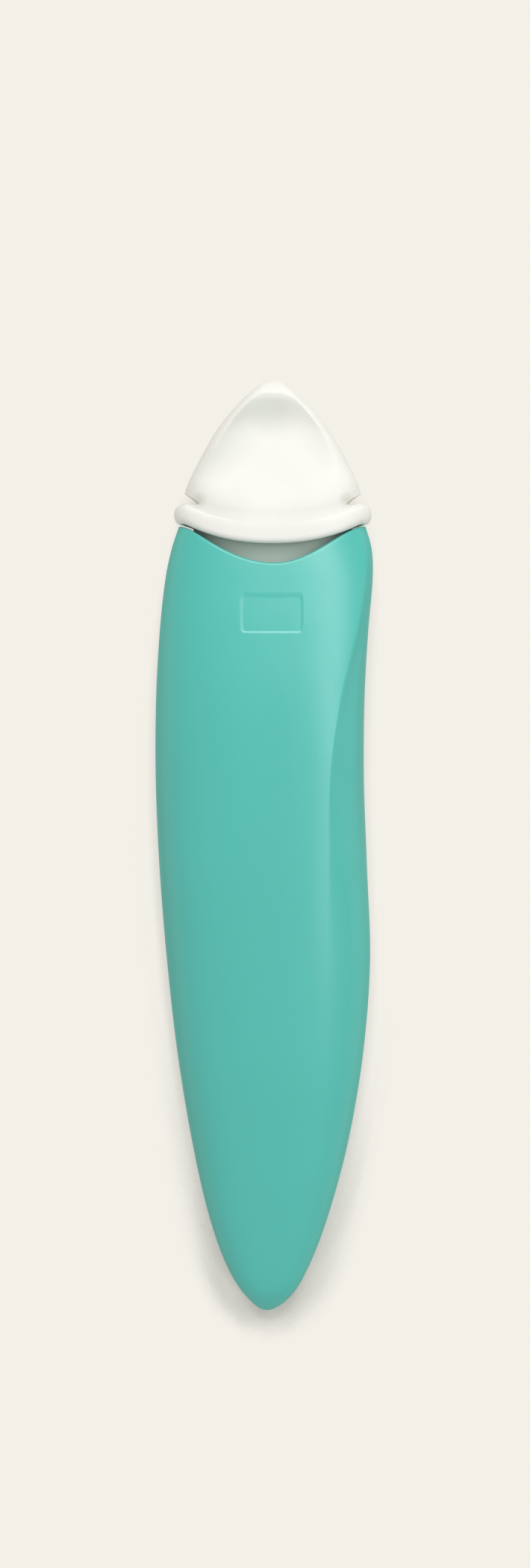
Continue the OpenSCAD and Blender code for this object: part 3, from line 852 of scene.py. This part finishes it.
def softbox(name, place, width, height, share, colour=(1.0, 1.0, 1.0)):
    """A rectangular lamp turned towards the marker. The share is of the light on the card that
    renders its colour as written: a small lamp of P watts square above a card d metres away
    gives P / (pi d)^2 of it, times the cosine of the slant."""
    lamp = bpy.data.lights.new(name, "AREA")
    lamp.shape = "RECTANGLE"
    lamp.size, lamp.size_y = width, height
    lamp.color = colour
    away = Vector(place)
    lamp.energy = share * (math.pi * away.length) ** 2 / (away.z / away.length)
    obj = bpy.data.objects.new(name, lamp)
    obj.location = place
    obj.rotation_euler = (-away).to_track_quat("-Z", "Y").to_euler()
    bpy.context.scene.collection.objects.link(obj)


# Half size of the card and its gap under the marker, in metres.
CARD_HALF, CARD_GAP = 3.0, 0.03 * MM
# Place, width and height of each lamp, in metres.
TOP_LAMP = (0.10, 1.70, 1.40), 1.2, 0.9
SIDE_LAMP = (0.825, 0.590, 1.722), 1.9, 0.55
WORLD_COLOUR, SIDE_COLOUR = (1.0, 0.99, 0.975, 1.0), (0.91, 0.97, 1.0)
# Size of the photograph, and its pixels at the marker's axis and origin.
PHOTO_W, PHOTO_H = 710, 2102
AXIS_PX, ORIGIN_PX = 365.5, 1120


class CHALK_OT_stage(bpy.types.Operator):
    """Sets the card, the soft lamps and the camera straight above the marker"""
    bl_idname = "chalk.stage"
    bl_label = "Stage"

    def execute(self, context):
        s = settings("chalk_stage")
        scene = context.scene
        floor_z = cad_box[0].z - CARD_GAP
        corners = ((-1, -1), (1, -1), (1, 1), (-1, 1))
        mesh = bpy.data.meshes.new("card")
        mesh.from_pydata([(x * CARD_HALF, y * CARD_HALF, floor_z) for x, y in corners], [],
                         [(0, 1, 2, 3)])
        card = bpy.data.objects.new("card", mesh)
        scene.collection.objects.link(card)
        dress(card, card_stock(s))

        world = bpy.data.worlds.new("studio")
        world.use_nodes = True
        background = world.node_tree.nodes["Background"].inputs
        background[0].default_value = WORLD_COLOUR
        background[1].default_value = s.fill
        scene.world = world

        softbox("top", *TOP_LAMP, s.top)
        softbox("side", *SIDE_LAMP, s.side, SIDE_COLOUR)

        camera = bpy.data.cameras.new("camera")
        camera.sensor_width = 36.0
        camera.sensor_fit = "AUTO"
        camera.lens = s.lens
        view = bpy.data.objects.new("camera", camera)
        frame_h = PHOTO_H / s.pixels_per_mm * MM
        distance = frame_h / (camera.sensor_width * MM) * (s.lens * MM)
        view.location = ((PHOTO_W / 2 - AXIS_PX) / s.pixels_per_mm * MM,
                         (ORIGIN_PX - PHOTO_H / 2) / s.pixels_per_mm * MM,
                         distance + PARTING_Z * MM)
        scene.collection.objects.link(view)
        scene.camera = view
        scene.view_settings.view_transform = "Standard"
        return {"FINISHED"}


class CHALK_PT_panel(bpy.types.Panel):
    """Lists the marker's settings and the operators that make it"""
    bl_idname = "CHALK_PT_panel"
    bl_label = "Chalk marker"
    bl_space_type = "VIEW_3D"
    bl_region_type = "UI"
    bl_category = "Chalk marker"

    def draw(self, context):
        for group, operator in STEPS:
            box = self.layout.box()
            box.operator(operator)
            values = settings(group)
            for name in values.bl_rna.properties.keys():
                if name not in ("rna_type", "name"):
                    box.prop(values, name)


STEPS = (("chalk_stage", "chalk.stage"), ("chalk_handle", "chalk.handle"),
         ("chalk_cap", "chalk.cap"), ("chalk_cartridge", "chalk.cartridge"))
GROUPS = {"chalk_handle": HandleSettings, "chalk_cap": CapSettings,
          "chalk_cartridge": CartridgeSettings, "chalk_stage": StageSettings}
CLASSES = (*GROUPS.values(), CHALK_OT_stage, CHALK_OT_handle, CHALK_OT_cap, CHALK_OT_cartridge,
           CHALK_PT_panel)


def register():
    """Registers the classes and hangs the settings on the scene."""
    for cls in CLASSES:
        bpy.utils.register_class(cls)
    for name, group in GROUPS.items():
        setattr(bpy.types.Scene, name, PointerProperty(type=group))


def unregister():
    """Takes the settings and the classes away again."""
    for name in GROUPS:
        delattr(bpy.types.Scene, name)
    for cls in reversed(CLASSES):
        bpy.utils.unregister_class(cls)


def main():
    register()
    for _, operator in STEPS:
        area, name = operator.split(".")
        getattr(getattr(bpy.ops, area), name)()


if __name__ == "__main__":
    main()
